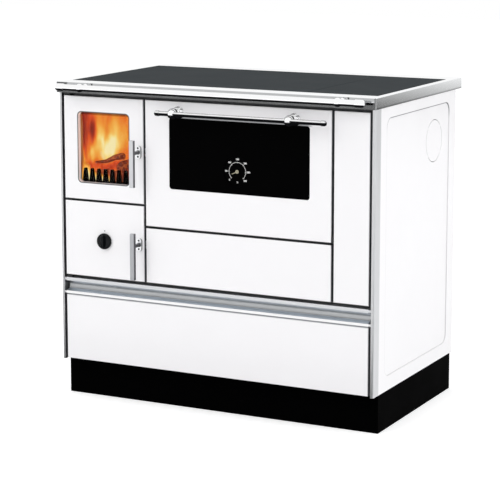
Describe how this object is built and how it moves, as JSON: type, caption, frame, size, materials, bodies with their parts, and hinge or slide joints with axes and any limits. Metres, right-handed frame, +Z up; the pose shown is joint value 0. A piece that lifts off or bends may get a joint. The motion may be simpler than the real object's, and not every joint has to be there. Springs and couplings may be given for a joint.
{
  "type": "wood cookstove",
  "caption": "Free-standing white enamel wood cookstove with firebox, ash door, oven, cast iron hob plates, towel rail and wood drawer on a black plinth.",
  "frame": {"origin": "on the floor, in the middle of the whole stove's bounding box", "axes": "+X to the right seen from the front, +Y to the back, +Z up"},
  "size_m": [0.9, 0.615, 0.836],
  "materials": {
    "white_enamel": "gloss white enamel",
    "black_paint": "satin black",
    "black_enamel": "semi-gloss black enamel",
    "stainless_frame": "brushed",
    "chrome_trim": "polished",
    "anodised_profile": "satin anodised",
    "latch_steel": "satin",
    "galvanised_sheet": "dull zinc",
    "dark_sheet": "heat resistant dark grey",
    "cast_iron": "matt cast",
    "firebrick": "matt fireclay",
    "firewood": "rough bark",
    "clear_glass": "clear ceramic glass",
    "black_glass": "opaque black glass",
    "rope_seal": "woven glass rope",
    "black_knob": "gloss black",
    "needle_white": "satin white"
  },
  "bodies": {
    "stove_body": {"plinth": "black_paint", "levelling_feet": "galvanised_sheet", "base_plate": "galvanised_sheet", "corner_profile_left": "anodised_profile", "corner_profile_right": "anodised_profile", "side_panel_left": "white_enamel", "side_panel_right": "white_enamel", "back_panel": "galvanised_sheet", "back_panel_screws": "galvanised_sheet", "face_frame": "dark_sheet", "drawer_ceiling": "galvanised_sheet", "side_filler": "white_enamel", "firebox_shell": "dark_sheet", "firebricks": "firebrick", "grate": "cast_iron", "log_fender": "black_enamel", "firewood_logs": "firewood", "ash_box": "dark_sheet", "ash_pan": "dark_sheet", "oven_box": "black_enamel", "oven_rack": "chrome_trim", "baking_tray": "black_enamel", "smoke_box": "dark_sheet", "flue_collar": "dark_sheet", "top_frame": "stainless_frame", "hob_crossbar": "cast_iron", "towel_rail": "chrome_trim", "rail_posts": "chrome_trim", "drawer_runners": "galvanised_sheet", "door_hinge_brackets": "dark_sheet", "latch_keepers": "latch_steel"},
    "firebox_door": {"firebox_door_panel": "white_enamel", "firebox_door_liner": "galvanised_sheet", "firebox_glass": "clear_glass", "firebox_door_seal": "rope_seal", "firebox_latch_plate": "latch_steel"},
    "firebox_latch": {"firebox_handle": "anodised_profile"},
    "ash_door": {"ash_door_panel": "white_enamel", "ash_door_liner": "galvanised_sheet", "ash_door_seal": "rope_seal", "ash_latch_plate": "latch_steel"},
    "ash_latch": {"ash_handle": "anodised_profile"},
    "air_control": {"air_knob": "black_knob", "air_disc": "galvanised_sheet"},
    "oven_door": {"oven_door_panel": "white_enamel", "oven_glass": "black_glass", "oven_inner_glass": "clear_glass", "oven_door_liner": "galvanised_sheet", "oven_door_seal": "rope_seal", "oven_handle_bar": "chrome_trim", "oven_handle_posts": "chrome_trim", "thermometer_dial": "black_enamel"},
    "needle": {"thermometer_needle": "needle_white"},
    "wood_drawer": {"drawer_front": "white_enamel", "drawer_box": "galvanised_sheet", "drawer_grip": "anodised_profile"},
    "cleaning_cover": {"lower_cover": "white_enamel", "soot_hatch": "galvanised_sheet"},
    "main_plate": {"hob_plate_main": "cast_iron"},
    "side_plate": {"hob_plate_side": "cast_iron"}
  },
  "joints": [
    {"name": "firebox_door_hinge", "type": "hinge", "parent": "stove_body", "child": "firebox_door", "pos_m": [-0.423, -0.2525, 0.665], "axis": [0, 0, -1], "range_deg": [0, 110]},
    {"name": "firebox_latch_turn", "type": "hinge", "parent": "firebox_door", "child": "firebox_latch", "pos_m": [-0.209, -0.2615, 0.6645], "axis": [0, 1, 0], "range_deg": [0, 70]},
    {"name": "ash_door_hinge", "type": "hinge", "parent": "stove_body", "child": "ash_door", "pos_m": [-0.423, -0.2525, 0.426], "axis": [0, 0, -1], "range_deg": [0, 110]},
    {"name": "ash_latch_turn", "type": "hinge", "parent": "ash_door", "child": "ash_latch", "pos_m": [-0.209, -0.2615, 0.4247], "axis": [0, 1, 0], "range_deg": [0, 70]},
    {"name": "air_control_turn", "type": "hinge", "parent": "ash_door", "child": "air_control", "pos_m": [-0.313, -0.2615, 0.425], "axis": [0, 1, 0], "range_deg": [0, 90]},
    {"name": "oven_door_hinge", "type": "hinge", "parent": "stove_body", "child": "oven_door", "pos_m": [0.071, -0.2525, 0.483], "axis": [1, 0, 0], "range_deg": [0, 90]},
    {"name": "needle_turn", "type": "hinge", "parent": "oven_door", "child": "needle", "pos_m": [0.073, -0.2595, 0.633], "axis": [0, 1, 0], "range_deg": [0, 250]},
    {"name": "wood_drawer_slide", "type": "slide", "parent": "stove_body", "child": "wood_drawer", "axis": [0, -1, 0], "range_m": [0, 0.4]},
    {"name": "cleaning_cover_pull", "type": "slide", "parent": "stove_body", "child": "cleaning_cover", "axis": [0, -1, 0], "range_m": [0, 0.15]},
    {"name": "main_plate_lift", "type": "slide", "parent": "stove_body", "child": "main_plate", "axis": [0, 0, 1], "range_m": [0, 0.06]},
    {"name": "side_plate_lift", "type": "slide", "parent": "stove_body", "child": "side_plate", "axis": [0, 0, 1], "range_m": [0, 0.06]}
  ]
}
